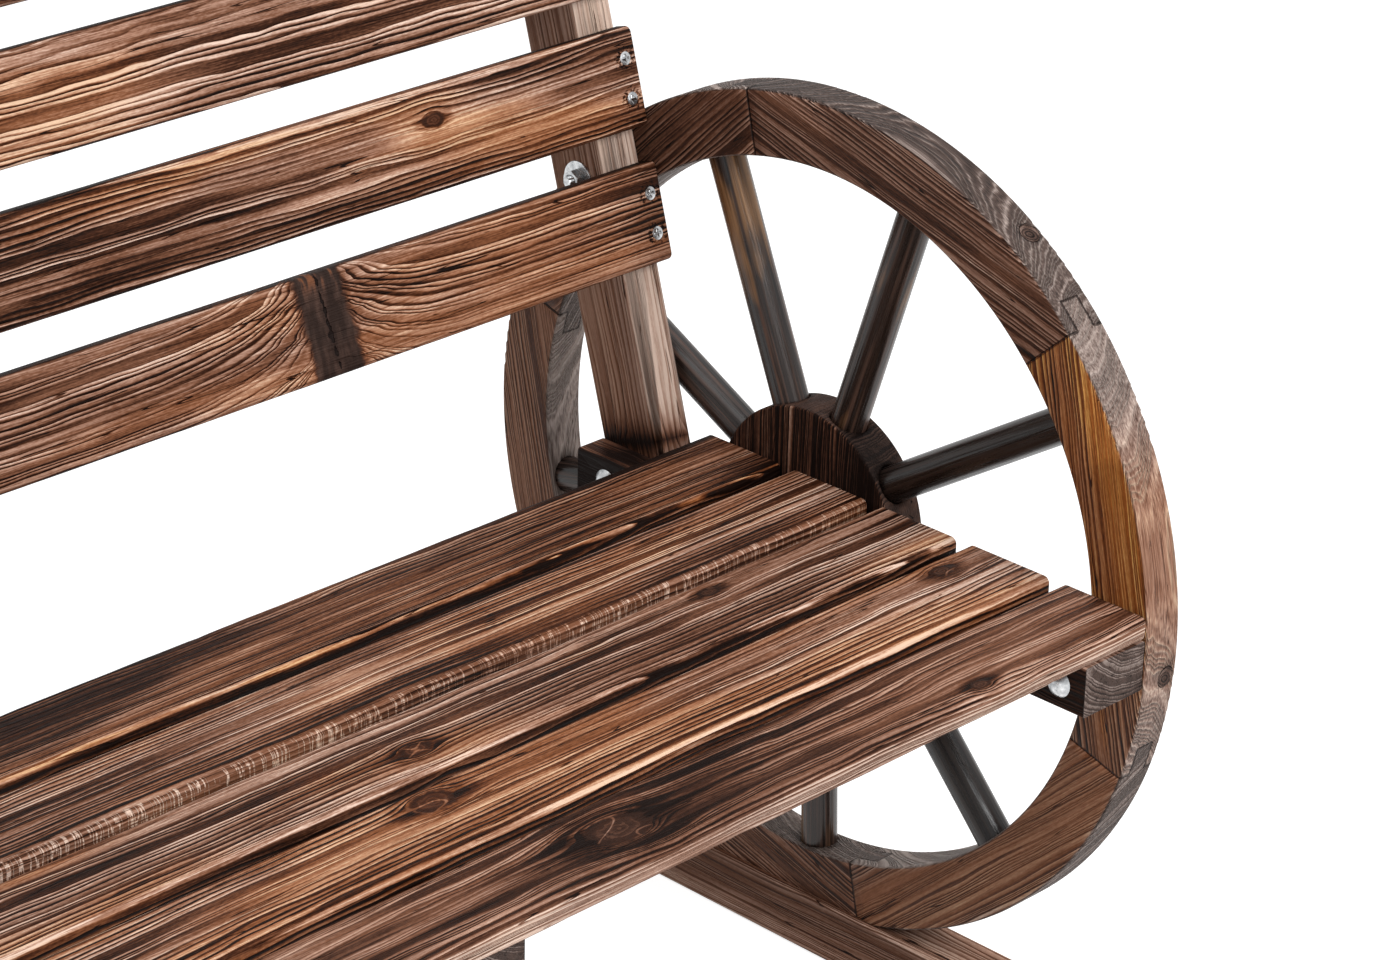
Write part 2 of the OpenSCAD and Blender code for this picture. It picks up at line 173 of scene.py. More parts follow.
def carbonised_fir(name, rim=False):
    """Fir charred with a flame and brushed: the hard bands stand proud and dark between soft brown ones.

    Every board carries its own timber coordinates in metres: x along the grain, y across, z through.
    The growth rings are circles round the pith, so faces, edges and end grain agree with each other.
    """
    material = bpy.data.materials.new(name)
    node = empty_tree(material)
    grain, shift, spike, half, tone, marks, look = (
        node("Attribute", attribute_name=word).outputs["Vector"]
        for word in ("grain", "shift", "spike", "half", "tone", "marks", "look"))
    x, y, z = node("SeparateXYZ", grain).outputs
    half_y, half_z, half_x = node("SeparateXYZ", half).outputs
    warmth, char, wear = node("SeparateXYZ", tone).outputs
    sawn, gloom, bleach = node("SeparateXYZ", marks).outputs
    contrast, gilt = node("SeparateXYZ", look).outputs[:2]
    haze = partial(clouds, node, node("VectorMath.ADD", grain, shift))
    # Raggedness of 7 mm, streaks 5 mm and fibres 1 mm wide, broad clouds, and the flame's uneven reach
    ragged = haze((150.0, 150.0, 150.0), 3.0)
    streak = haze((6.0, 210.0, 210.0), 3.0)
    fibre = haze((24.0, 1000.0, 1000.0))
    cloud = haze((4.0, 24.0, 24.0), 2.0, (5.2, 0.3, 2.8))
    flame = haze((3.0, 14.0, 14.0), 3.0, (3.1, 1.7, 0.4))

    # The branch that grew across a board, on a slight slant: a post or rail has a darker strip instead
    spike_x, spike_w, spike_pull = node("SeparateXYZ", spike).outputs
    beside = node("Math.MULTIPLY_ADD", y, 0.10, node("Math.SUBTRACT", x, spike_x))
    beside = node("Math.ABSOLUTE", beside)
    sweep = node("Math.MULTIPLY", node("Math.DIVIDE", beside, spike_w), -0.42)
    sweep = node("Math.EXPONENT", sweep)
    pulled = node("MapRange.SMOOTHSTEP", spike_pull, 0.0, 0.01)
    band = node("Math.DIVIDE", node("Math.MULTIPLY_ADD", ragged, 0.012, beside), spike_w)
    band = node("Math.MULTIPLY", node("MapRange.SMOOTHSTEP", band, 1.35, 1.85, 1.0, 0.0), pulled)
    crack = node("Math.MULTIPLY_ADD", ragged, 0.010, beside)
    crack = node("Math.MULTIPLY", node("MapRange.SMOOTHSTEP", crack, 0.0052, 0.0060, 1.0, 0.0), band)

    across = wandering_grain(node, haze, grain, sweep)
    across, knots, knot_reach, knot_tail = part_round_knots(node, grain, across, ragged, streak)
    knots = node("Math.MAXIMUM", knots, band)
    age, ring, luck, mood = growth_rings(node, across, node("Math.MULTIPLY", sweep, spike_pull))

    # How pale the wood is at a point, from 0 for charcoal to 1 for bare fir
    profile = node("ValToRGB", ring, stops=[(0.0, 0.30), (0.07, 1.0), (0.30, 0.86), (0.56, 0.62),
                                            (0.70, 0.12), (0.95, 0.0)])
    line = node("Math.SUBTRACT", 1.0, profile)
    zone = haze((3.4, 30.0, 30.0), 2.0, (6.6, 8.1, 0.9))
    bite = node("Math.MULTIPLY", node("MapRange", luck, 0.0, 1.0, 0.60, 1.0),
                node("MapRange.SMOOTHSTEP", zone, 0.36, 0.56, 0.40, 1.08))
    # A rim was planed smoother than a slat, so its figure is quieter
    base, mood_share, streak_share, fibre_share, cloud_share = (
        (0.53, 0.06, 0.3, 0.5, 0.4) if rim else (0.58, 0.24, 0.7, 0.7, 0.9))
    pale = node("Math.MULTIPLY_ADD", bite, 0.34, base)
    for layer, share in ((node("Math.MULTIPLY", line, bite), -0.96), (mood, mood_share)):
        pale = node("Math.MULTIPLY_ADD", layer, share, pale)
    pore = haze((260.0, 900.0, 900.0))
    for layer, share in ((streak, streak_share), (fibre, fibre_share), (cloud, cloud_share), (pore, 0.4)):
        pale = node("Math.MULTIPLY_ADD", node("Math.SUBTRACT", layer, 0.5), share, pale)
    pale = node("Math.MULTIPLY_ADD", node("Math.SUBTRACT", pale, 0.55), contrast, 0.55)

    # Soot where the flame reached, drying checks and the darker strip
    soot = node("Math.MULTIPLY", node("MapRange.SMOOTHSTEP", flame, 0.40, 0.62), char)
    check = veins(node, haze((7.0, 190.0, 190.0), 1.0, (9.4, 4.4, 1.1)), 0.004, 0.012)
    check = node("Math.MULTIPLY", check, node("MapRange.SMOOTHSTEP", streak, 0.50, 0.40))
    dark_strip = node("Math.MULTIPLY", sweep, node("Math.SUBTRACT", 1.0, pulled))
    for layer, share in ((soot, -0.42), (gloom, -0.50), (check, -0.55), (dark_strip, -0.8)):
        pale = node("Math.MULTIPLY_ADD", layer, share, pale)

    # Brushing rubs the long edges bare, and the paler edge also stands for a painted highlight on the
    # rounding
    tall = node("Math.SUBTRACT", half_z, node("Math.ABSOLUTE", z))
    if rim:
        out = node("VectorMath.MULTIPLY", grain, (1, 1, 0))
        out = node("VectorMath.LENGTH", out).outputs["Value"]
        inner = node("Math.SUBTRACT", out, half_x)
        wide = node("Math.MINIMUM", node("Math.SUBTRACT", half_y, out), inner)
    else:
        wide = node("Math.SUBTRACT", half_y, node("Math.ABSOLUTE", y))
    nibble = haze((11.0, 200.0, 200.0))
    edge = node("Math.MULTIPLY_ADD", nibble, 0.008, node("Math.MAXIMUM", tall, wide))
    bare = node("Math.MULTIPLY", node("MapRange.SMOOTHSTEP", edge, 0.0048, 0.0086, 1.0, 0.0), wear)
    rubbed = node("Math.MAXIMUM", node("MapRange.SMOOTHSTEP", fibre, 0.40, 0.60, 0.15, 1.0), gilt)
    for factor in (bare, node("Math.MULTIPLY_ADD", line, -0.6, 1.0)):
        rubbed = node("Math.MULTIPLY", rubbed, factor)
    pale = node("Math.MULTIPLY_ADD", rubbed, 0.46, pale)

    # A front edge left from the saw is dull between its bright scratches
    front = node("MapRange.SMOOTHSTEP", node("Math.ADD", y, half_y), 0.0046, 0.0060, 1.0, 0.0)
    front = node("Math.MULTIPLY", front, sawn)
    scratch = saw_scratches(node, haze, front, fibre, cloud)
    pale = node("Mix", front, at={2: pale, 3: node("Math.MULTIPLY_ADD", pale, 0.60, 0.14)})
    pale = node("Math.MULTIPLY_ADD", scratch, 0.58, pale)
    if not rim:
        nails = node("Attribute", attribute_name="nails").outputs["Vector"]
        nail_x, nail_y, side_shade = node("SeparateXYZ", nails).outputs
        # Painted shade on the narrow side faces, which lie in shade in the gaps and on the sides of posts and
        # rails; a negative setting paints light there instead
        shaded_sides = node("Math.MULTIPLY", node("MapRange.SMOOTHSTEP", wide, 0.0001, 0.0009, 1.0, 0.0), side_shade)
        shaded_sides = node("Math.MULTIPLY", shaded_sides, node("Math.SUBTRACT", 1.0, front))
        splinter = torn_wood(node, haze, grain, node("CombineXYZ", nail_x, nail_y))
        for layer, share in ((shaded_sides, -0.45), (splinter, 3.4)):
            pale = node("Math.MULTIPLY_ADD", layer, share, pale)

    # A knot darkens the wood round it and beyond it along the grain
    knot_pale, bark = knot_shade(node, haze, ragged, knot_reach, band)
    halo = node("MapRange.SMOOTHSTEP", knot_reach, 1.0, 2.6, 0.22, 0.0)
    tail = node("MapRange.SMOOTHSTEP", knot_tail, 1.3, 0.6)
    pale = node("Math.MULTIPLY_ADD", tail, -0.18, node("Math.SUBTRACT", pale, halo))
    pale = node("Mix", knots, at={2: pale, 3: knot_pale})
    # The branch's upper end glows where the bark flaked off
    ember = node("Math.MULTIPLY", band, node("MapRange.SMOOTHSTEP", y, 0.016, 0.032))
    ember = node("Math.MULTIPLY", ember, node("MapRange.SMOOTHSTEP", bark, 0.16, 0.24, 0.0, 0.7))
    for layer, share in ((ember, 0.30), (crack, -0.5)):
        pale = node("Math.MULTIPLY_ADD", layer, share, pale)

    if rim:
        # The curved faces are a silver combed by the rings, partly weathered and partly a painted sheen
        weather = node("MapRange.SMOOTHSTEP", wide, 0.0004, 0.0016, 1.0, 0.0)
        comb = node("Math.MULTIPLY_ADD", node("Math.FRACT", node("Math.MULTIPLY", age, 2.0)), 2.0, -1.0)
        comb = node("Math.MULTIPLY", comb, comb)
        silver = rim_silver(node, warmth, comb, x, inner, fibre)
        seam = joint_seams(node, x, y, z, out)
        pale = node("Mix", node("Math.MULTIPLY", weather, 0.85), at={2: pale, 3: silver})
        pale = node("Math.MULTIPLY_ADD", seam, -0.38, pale)
    else:
        # Cut ends drink more stain
        far = node("Math.SUBTRACT", half_x, node("Math.ABSOLUTE", x))
        weather = node("MapRange.SMOOTHSTEP", far, 0.0002, 0.0006, 1.0, 0.0)
        pale = node("Math.MULTIPLY_ADD", weather, -0.10, pale)
    pale = node("Math.ADD", pale, bleach, use_clamp=True)

    # Golden where the flame spared the wood, most on the amber felloe, and on worn edges with their painted
    # highlight
    glow = node("Math.MULTIPLY", node("MapRange.SMOOTHSTEP", flame, 0.56, 0.42), warmth)
    glow = node("Math.MULTIPLY", glow, node("Math.SUBTRACT", 1.0, bare))
    blaze = node("MapRange.SMOOTHSTEP", warmth, 0.8, 1.0, 0.0, 0.95)
    for layer, low, high, first, last in ((flame, 0.64, 0.46, 0.45, 1.0), (x, 0.02, 0.13, 1.0, 0.45)):
        spread = node("MapRange.SMOOTHSTEP", layer, low, high, first, last)
        blaze = node("Math.MULTIPLY", blaze, spread)
    for layer in (blaze, node("Math.MULTIPLY", bare, gilt), ember):
        glow = node("Math.MAXIMUM", glow, layer)
    glow = node("Math.MULTIPLY", glow, node("MapRange.SMOOTHSTEP", weather, 0.0, 1.0, 1.0, 0.35))

    # Grey where the wood is weathered, which on the rim's curved faces is partly a painted sheen, where it is
    # gloomy or sooty, and on knots
    cold = node("Math.MULTIPLY", weather, 0.95 if rim else 0.75)
    if rim:
        spared = node("Math.MULTIPLY", node("Math.MULTIPLY", blaze, weather),
                      node("MapRange.SMOOTHSTEP", x, -0.12, -0.03))
        cold = node("Math.MULTIPLY_ADD", spared, -0.55, cold)
        glow = node("Math.MULTIPLY_ADD", spared, 0.35, glow)
    for layer, share in ((gloom, 0.9), (soot, 0.08), (node("Math.MULTIPLY", band, band), 0.62),
                         (knots, 0.15), (ember, -0.6)):
        cold = node("Math.MULTIPLY_ADD", layer, share, cold)
    cold = node("Math.ADD", cold, 0.0, use_clamp=True)
    colour = timber_colour(node, pale, glow, cold)

    # The hard bands stand proud
    relief = node("ValToRGB", ring, stops=[(0.0, 0.15), (0.12, 0.0), (0.45, 0.25), (0.72, 1.0), (0.90, 0.9),
                                           (1.0, 0.15)])
    for factor in (bite, node("Math.SUBTRACT", 1.0, knots), contrast):
        relief = node("Math.MULTIPLY", relief, factor)
    lumps = [(fibre, 0.9), (streak, 0.8), (node("Math.MULTIPLY", knots, ragged), 1.5), (scratch, 0.5),
             (check, -0.7), (crack, -2.0)]
    if rim:
        lumps += [(node("Math.MULTIPLY", comb, weather), 1.6), (seam, -2.0)]
    else:
        lumps += [(splinter, 5.0)]
    for layer, share in lumps:
        relief = node("Math.MULTIPLY_ADD", layer, share, relief)
    height = bpy.context.scene.bench_timber.ridge
    bump = node("Bump", at={"Strength": 1.0, "Distance": height, "Height": relief})
    gloss = node("MapRange", line, 0.0, 1.0, 0.62, 0.50)
    shader = node("BsdfPrincipled", at={"Base Color": colour, "Roughness": gloss, "Normal": bump,
                                        "Specular IOR Level": 0.14 if rim else 0.05})
    node("OutputMaterial", shader)
    return material


def wandering_grain(node, haze, grain, sweep):
    """The trunk was never straight: its pith wanders over half a metre, and its rings ripple."""
    # The pith by up to 11 mm, and the rings by up to 2.5 mm, which a branch makes swell
    slow = haze((1.7, 5.0, 5.0)).outputs["Color"]
    slow = node("VectorMath.MULTIPLY_ADD", slow, (0, 0.022, 0.022), (0, -0.011, -0.011))
    ripple = haze((12.0, 60.0, 60.0)).outputs["Color"]
    ripple = node("VectorMath.MULTIPLY_ADD", ripple, (0, 1, 1), (0, -0.5, -0.5))
    swell = node("Math.MULTIPLY_ADD", sweep, 0.014, 0.0050)
    ripple = node("VectorMath.SCALE", ripple, at={"Scale": swell})
    return node("VectorMath.ADD", node("VectorMath.ADD", grain, slow), ripple)


def part_round_knots(node, grain, across, ragged, streak):
    """Rings part round a knot, which is 1.6 times as long as it is wide and has a longer dark tail.

    Returns the parted rings, where the knots are, and the distances from knots and from tails.
    """
    knots, nearest, nearest_tail = [], [], []
    for word in ("eye_a", "eye_b"):
        eye = node("Attribute", attribute_name=word).outputs["Vector"]
        radius = node("SeparateXYZ", eye).outputs[2]
        away = node("VectorMath.MULTIPLY", node("VectorMath.SUBTRACT", grain, eye), (0.62, 1.0, 0.0))
        reach = node("VectorMath.LENGTH", away).outputs["Value"]
        reach = node("Math.DIVIDE", reach, radius)
        nearest.append(reach)
        pull = node("Math.MAXIMUM", node("Math.MULTIPLY", reach, reach), 1.0)
        bent = node("VectorMath.MULTIPLY", away, (0, 1, 0))
        bent = node("VectorMath.SCALE", bent, at={"Scale": node("Math.DIVIDE", -0.97, pull)})
        across = node("VectorMath.ADD", across, bent)
        core = node("Math.MULTIPLY_ADD", ragged, 1.1, reach)
        knots.append(node("MapRange.SMOOTHSTEP", core, 1.35, 1.75, 1.0, 0.0))
        tail = node("VectorMath.MULTIPLY", away, (0.42, 1.5, 0.0))
        tail = node("VectorMath.LENGTH", tail).outputs["Value"]
        tail = node("Math.MULTIPLY_ADD", streak, 1.4, node("Math.DIVIDE", tail, radius))
        nearest_tail.append(node("Math.SUBTRACT", tail, 0.7))
    return (across, node("Math.MAXIMUM", *knots), node("Math.MINIMUM", *nearest),
            node("Math.MINIMUM", *nearest_tail))


def growth_rings(node, across, swell):
    """A point's age in years from the pith, its place in its ring, the ring's luck and the years' mood."""
    pith = node("Attribute", attribute_name="pith").outputs["Vector"]
    pith_y, pith_z, ring_width = node("SeparateXYZ", pith).outputs
    radius = node("VectorMath.SUBTRACT", across, node("CombineXYZ", 0.0, pith_y, pith_z))
    radius = node("VectorMath.MULTIPLY", radius, (0, 1, 1))
    radius = node("VectorMath.LENGTH", radius).outputs["Value"]
    age = node("Math.DIVIDE", node("Math.ADD", radius, swell), ring_width)
    season = node("TexNoise", at={"W": age, "Scale": 0.31, "Detail": 1.0}, noise_dimensions="1D")
    age = node("Math.MULTIPLY_ADD", season, 4.0, age)
    year = node("Math.FLOOR", age)
    luck = node("TexWhiteNoise", at={"W": year}, noise_dimensions="1D").outputs["Value"]
    mood = node("TexNoise", at={"W": age, "Scale": 0.27, "Detail": 2.0}, noise_dimensions="1D")
    mood = node("MapRange.SMOOTHSTEP", mood, 0.36, 0.64, -0.5, 0.5)
    return age, node("Math.FRACT", age), luck, mood


def veins(node, blur, low, high, middle=0.5):
    """Thin lines where noise crosses its middle."""
    off = node("Math.ABSOLUTE", node("Math.SUBTRACT", blur, middle))
    return node("MapRange.SMOOTHSTEP", off, low, high, 1.0, 0.0)


def saw_scratches(node, haze, front, fibre, cloud):
    """Scratches across the grain of a sawn edge, 2 to 4 mm apart and broken up."""
    scratch = veins(node, haze((300.0, 30.0, 30.0)), 0.010, 0.048, 0.54)
    scratch = node("Math.MULTIPLY", scratch, front)
    for layer, low, high, least in ((fibre, 0.36, 0.50, 0.35), (cloud, 0.34, 0.50, 0.55)):
        broken = node("MapRange.SMOOTHSTEP", layer, low, high, least, 1.0)
        scratch = node("Math.MULTIPLY", scratch, broken)
    return scratch


def torn_wood(node, haze, grain, screw):
    """Splinters round the screws, which stand at one distance from a slat's middle in all four corners."""
    torn = node("VectorMath.SUBTRACT", node("VectorMath.ABSOLUTE", grain), screw)
    torn = node("VectorMath.MULTIPLY", torn, (0.8, 1.0, 0.0))
    torn = node("VectorMath.LENGTH", torn).outputs["Value"]
    splinter = haze((380.0, 620.0, 620.0), 3.0)
    torn = node("Math.MULTIPLY_ADD", splinter, 0.010, torn)
    torn = node("MapRange.SMOOTHSTEP", torn, 0.0100, 0.0125, 1.0, 0.0)
    return node("Math.MULTIPLY", node("Math.SUBTRACT", splinter, 0.54), torn)


def knot_shade(node, haze, ragged, reach, band):
    """How pale a knot is, with its own rings, fine cracks and a dark rim, and how pale a branch's bark is."""
    ring = node("Math.MULTIPLY_ADD", ragged, 2.2, node("Math.MULTIPLY", reach, 3.0))
    ring = node("Math.FRACT", ring)
    shade = node("Math.MULTIPLY", node("MapRange.SMOOTHSTEP", ring, 0.25, 0.95, 0.10, 0.24),
                 node("MapRange.SMOOTHSTEP", reach, 0.55, 0.85, 1.0, 0.15))
    split = veins(node, haze((36.0, 60.0, 60.0), 0.0, (1.9, 6.2, 3.3)), 0.008, 0.024)
    shade = node("Math.MULTIPLY_ADD", split, 0.34, shade)
    bark = haze((170.0, 40.0, 40.0), 3.0, (7.7, 2.2, 5.1))
    bark = node("MapRange.SMOOTHSTEP", bark, 0.35, 0.70, 0.08, 0.30)
    return node("Mix", band, at={2: shade, 3: bark}), bark


def rim_silver(node, warmth, comb, x, inner, fibre):
    """How pale a felloe's curved faces are, partly weathered and partly a painted sheen: palest on the
    inner one, where light is painted, and combed less on a warm felloe.
    """
    mild = node("MapRange.SMOOTHSTEP", warmth, 0.8, 1.0, 0.58, 0.40)
    # A cool felloe is paler towards its further end
    tip = node("Math.MULTIPLY", node("MapRange.SMOOTHSTEP", x, 0.0, 0.12),
               node("MapRange.SMOOTHSTEP", warmth, 0.5, 1.0, 1.0, 0.0))
    # Painted light: the inner curved face is made paler
    painted_inner_light = node("MapRange.SMOOTHSTEP", inner, 0.0004, 0.0016, 1.0, 0.0)
    silver = node("Math.MULTIPLY", warmth, 0.38)
    for layer, share in ((comb, mild), (tip, 0.28), (painted_inner_light, 0.44), (node("Math.SUBTRACT", fibre, 0.5), 1.1)):
        silver = node("Math.MULTIPLY_ADD", layer, share, silver)
    return silver


def joint_seams(node, x, y, z, out):
    """Open glue lines of a felloe: at both ends, along the tongue's cheeks and across its end."""
    turn = node("Math.ARCTAN2", x, y)
    past = node("Math.SUBTRACT", node("Math.ABSOLUTE", turn), radians(180 / FELLOES))
    lower = node("Math.LESS_THAN", turn, 0.0)
    inside = node("Math.MULTIPLY", past, node("MapRange", lower, 0.0, 1.0, -1.0, 1.0))
    reach = node("Math.SUBTRACT", inside, radians(TONGUE_TURN))
    cheek = node("Math.SUBTRACT", node("Math.ABSOLUTE", z), TONGUE / 2)
    # How far off each line is and where it runs: the shoulder, the tongue's end, and its cheeks
    lines = (
        (node("Math.MULTIPLY", past, out), node("Math.GREATER_THAN", cheek, -0.0002)),
        (node("Math.MULTIPLY", reach, out), node("Math.LESS_THAN", cheek, 0.0006)),
        (cheek, node("Math.MULTIPLY", node("Math.GREATER_THAN", inside, 0.0),
                     node("Math.LESS_THAN", reach, 0.002))),
    )
    seams = 0.0
    for distance, where in lines:
        near = node("MapRange", node("Math.ABSOLUTE", distance), 0.0003, 0.0010, 1.0, 0.0)
        seams = node("Math.MAXIMUM", seams, node("Math.MULTIPLY", near, where))
    return seams


def timber_colour(node, pale, glow, cold):
    """Brown wood, golden where it glows and grey where it is cold, each from its dark to its pale."""
    tints = bpy.context.scene.bench_timber
    brown = node("ValToRGB", pale, stops=[(0.0, tints.burnt), (0.24, srgb("3a1f12")), (0.50, tints.brown),
                                          (0.78, srgb("a98471")), (1.0, tints.tan)])
    golden = node("ValToRGB", pale, stops=[(0.0, tints.burnt), (0.30, srgb("56290e")), (0.60, tints.amber),
                                           (0.82, srgb("b1743a")), (1.0, srgb("cf9c58"))])
    grey = node("ValToRGB", pale, stops=[(0.0, srgb("1c1513")), (0.45, tints.smoke), (1.0, srgb("b0a098"))])
    colour = node("Mix", glow, at={6: brown, 7: golden}, data_type="RGBA")
    return node("Mix", cold, at={6: colour, 7: grey}, data_type="RGBA")


def varnished_dowel(name):
    """Turned fir stained nearly black under gloss varnish, with the brown showing through in patches."""
    material = bpy.data.materials.new(name)
    node = empty_tree(material)
    grain, shift, look = (node("Attribute", attribute_name=word).outputs["Vector"]
                          for word in ("grain", "shift", "look"))
    wood_shows, rubbed = node("SeparateXYZ", look).outputs[:2]
    along = node("SeparateXYZ", grain).outputs[0]
    haze = partial(clouds, node, node("VectorMath.ADD", grain, shift))
    # Streaks 2 mm wide, and patches 80 mm long
    streak = haze((9.0, 420.0, 420.0), 3.0)
    patch = haze((13.0, 60.0, 60.0))
    # Below 1, a dowel shows less of the wood and is darker, and a rubbed dowel shows it towards the rim
    dark = node("ValToRGB", node("Math.MULTIPLY", streak, wood_shows),
                stops=[(0.30, srgb("120d0b")), (0.52, srgb("2e221d")), (0.74, srgb("64493d"))])
    upper = node("MapRange", along, -0.03, 0.04, 0.0, 0.17)
    patch = node("Math.MULTIPLY_ADD", rubbed, upper, node("Math.MULTIPLY", patch, wood_shows))
    thin = node("MapRange", patch, 0.60, 0.72, 0.0, 0.9)
    bare = node("ValToRGB", streak, stops=[(0.30, srgb("3a2316")), (0.70, srgb("a27850"))])
    colour = node("Mix", thin, at={6: dark, 7: bare}, data_type="RGBA")
    bump = node("Bump", at={"Strength": 0.9, "Distance": 0.0006, "Height": streak})
    gloss = node("MapRange", streak, 0.3, 0.7, 0.20, 0.36)
    shader = node("BsdfPrincipled", at={"Base Color": colour, "Roughness": gloss, "Normal": bump,
                                        "Specular IOR Level": 0.40})
    node("OutputMaterial", shader)
    return material


def zinc_plate(name):
    """Bright zinc on steel: a pale grey metal, cloudy and finely pitted."""
    material = bpy.data.materials.new(name)
    node = empty_tree(material)
    place = node("TexCoord").outputs["Object"]
    cloud = node("TexNoise", at={"Vector": place, "Scale": 260.0, "Detail": 3.0})
    colour = node("ValToRGB", cloud, stops=[(0.3, srgb("94979a")), (0.7, srgb("dadbdc"))])
    gloss = node("MapRange", cloud, 0.3, 0.7, 0.34, 0.18)
    bump = node("Bump", at={"Strength": 0.3, "Distance": 0.0001, "Height": cloud})
    shader = node("BsdfPrincipled", at={"Base Color": colour, "Roughness": gloss, "Normal": bump,
                                        "Metallic": 1.0})
    node("OutputMaterial", shader)
    return material


# What makes each material, called with its name
FINISHES = {
    "carbonised_fir": carbonised_fir,
    "carbonised_fir_rim": partial(carbonised_fir, rim=True),
    "varnished_dowel": varnished_dowel,
    "zinc_plate": zinc_plate,
}


# Out of reach of every board, for one without a knot, branch or screws
NO_EYE = (9.0, 9.0, 0.001)
NO_SPIKE = (9.0, 0.001, 0.0)
NO_SCREWS = (9.0, 9.0)


def timber(pith=(0.03, -0.04), rings=0.0024, eyes=(), spike=NO_SPIKE, tone=(0.3, 0.4, 0.6), sawn=0.0,
           gloom=0.0, bleach=0.0, nails=NO_SCREWS, side_shade=0.0, contrast=1.0, gilt=0.0):
    """How one board was cut: where its pith lies, ring width, knots as (x, y, radius), and how it was burnt.

    A spike is a branch across the board as (x, half its width, how far it swells the rings), and with
    no swelling it is a darker strip. The tone is how much of the board glows, is sooty and is worn, and
    its worn edges also carry a painted highlight.
    """
    eyes = [*eyes, NO_EYE, NO_EYE]
    return {"pith": (*pith, rings), "eye_a": eyes[0], "eye_b": eyes[1], "spike": spike, "tone": tone,
            "marks": (sawn, gloom, bleach), "nails": (*nails, side_shade), "look": (contrast, gilt, 0.0)}


def lay_grain(mesh, axes, centre, half, cut, number):
    """Writes a board's timber coordinates on its points, and what is the same all over it on its faces."""
    grain = mesh.attributes.new("grain", "FLOAT_VECTOR", "POINT")
    places = [[(v.co - centre).dot(axis) for axis in axes] for v in mesh.vertices]
    grain.data.foreach_set("vector", [c for place in places for c in place])
    shift = (number * 3.71, number * 1.37, number * 2.13)
    for word, value in {**cut, "half": half, "shift": shift}.items():
        constant = mesh.attributes.new(word, "FLOAT_VECTOR", "FACE")
        constant.data.foreach_set("vector", list(value) * len(mesh.polygons))


def link_object(name, data):
    """A new object in the scene."""
    made = bpy.data.objects.new(name, data)
    bpy.context.scene.collection.objects.link(made)
    return made


def finish_piece(name, bm, node, finish="carbonised_fir", smooth=35):
    """Turns a bmesh into a piece that rides the bench and stands for its CAD node."""
    mesh = bpy.data.meshes.new(name)
    bm.to_mesh(mesh)
    bm.free()
    mesh.shade_smooth()
    mesh.set_sharp_from_angle(angle=radians(smooth))
    mesh.materials.append(bpy.data.materials.get(finish) or FINISHES[finish](finish))
    piece = link_object(name, mesh)
    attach(piece, "root")
    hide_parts(node)
    return piece


def solid_copy(node):
    """A merged copy of a CAD node's mesh, for a joint or housing that has to stay exact."""
    bm = bmesh.new()
    bm.from_mesh(frame["nodes"][node].data)
    bmesh.ops.remove_doubles(bm, verts=bm.verts, dist=1e-6)
    return bm


def edges_along(bm, axis, least):
    """The edges that run further than this along x, y or z, which are axis 0, 1 or 2."""
    return [e for e in bm.edges if abs(e.verts[0].co[axis] - e.verts[1].co[axis]) > least]


def slat_mesh(length, width, thick, number):
    """A brushed slat about the origin, x along the grain and z out of its face, its edges worn unevenly."""
    settings = bpy.context.scene.bench_timber
    bm = bmesh.new()
    bmesh.ops.create_cube(bm, size=1, matrix=Matrix.Diagonal((length, width, thick, 1)))
    bmesh.ops.bevel(bm, geom=edges_along(bm, 0, length / 2), affect="EDGES", offset=settings.slat_ease,
                    segments=4, profile=0.5, material=-1)
    rims = [e for e in bm.edges if abs(e.verts[0].co.x + e.verts[1].co.x) > length * 0.99]
    bmesh.ops.bevel(bm, geom=rims, affect="EDGES", offset=0.0008, segments=2, profile=0.5, material=-1)
    # A ring of points every 7 mm carries the wear
    bmesh.ops.subdivide_edges(bm, edges=edges_along(bm, 0, length / 2), cuts=150, use_grid_fill=True)
    bmesh.ops.subdivide_edges(bm, edges=edges_along(bm, 1, width / 2), cuts=5, use_grid_fill=True)
    for v in bm.verts:
        to_edge = max(width / 2 - abs(v.co.y), thick / 2 - abs(v.co.z))
        if to_edge > settings.slat_ease * 1.05:
            continue
        corner = Vector((0, v.co.y / abs(v.co.y), v.co.z / abs(v.co.z)))
        # Shallow bites some 40 mm long on every edge, and a deeper chip here and there
        place = Vector((v.co.x * 26, number * 5.3 + corner.y * 2, corner.z * 3))
        bite = max(0, noise.noise(place) * 0.7 + noise.noise(place * 4.1) * 0.35 + 0.3)
        chip = max(0, noise.noise(place * 1.7 + Vector((0, 9, 4))) - 0.42) * 3
        depth = min(settings.wear * (bite * 0.6 + chip), settings.slat_ease * 0.6)
        v.co -= corner.normalized() * depth * (1 - to_edge / (settings.slat_ease * 1.2))
    return bm


def between(low, high):
    """The middle of a box and its size."""
    low, high = Vector(low), Vector(high)
    return (low + high) / 2, high - low


def round_the_axle(degrees):
    """The way out from the axle at that angle from the rear, and the way on round the rim from there."""
    angle = radians(degrees)
    return Vector((0, cos(angle), sin(angle))), Vector((0, -sin(angle), cos(angle)))
